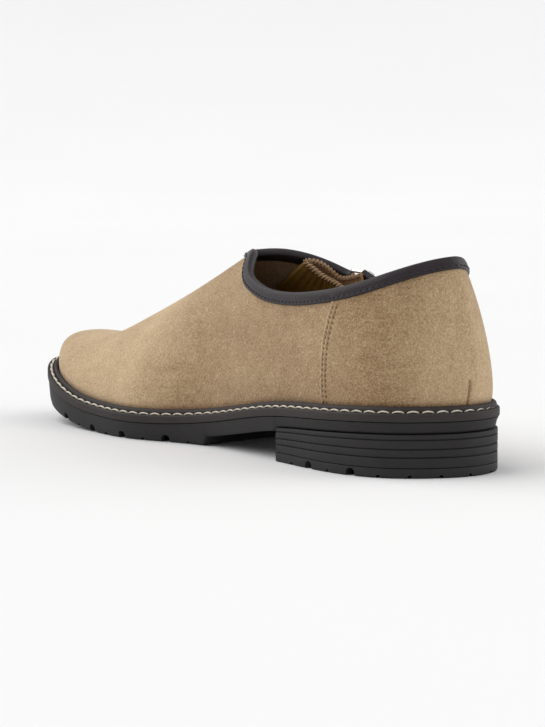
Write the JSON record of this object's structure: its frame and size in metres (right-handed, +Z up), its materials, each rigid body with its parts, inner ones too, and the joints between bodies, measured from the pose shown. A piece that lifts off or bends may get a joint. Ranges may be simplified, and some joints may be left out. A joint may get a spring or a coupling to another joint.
{
  "type": "low shoe",
  "caption": "Low side-fastened suede shoe for the right foot, with a bound collar, a stitched storm rim and a rubber sole with a grooved block heel.",
  "frame": {"origin": "middle of the footprint, on the floor: centre of the bounding box's bottom face", "axes": "+X from the heel to the toe, +Y to the inner (medial) side of the foot, +Z up"},
  "size_m": [0.3, 0.1062, 0.0959],
  "materials": {
    "suede": "brushed nap, matt",
    "rubber": "satin",
    "binding_leather": "smooth, half gloss",
    "insole_leather": "matt",
    "metal": "polished"
  },
  "bodies": {
    "root": {"outsole": "rubber", "heel_block": "rubber", "heel_lift": "rubber", "midsole": "rubber", "welt": "rubber", "insole": "insole_leather", "upper": "suede", "collar_binding": "binding_leather", "tongue": "suede", "strap": "suede", "buckle_frame": "metal", "buckle_prong": "metal"}
  },
  "joints": []
}
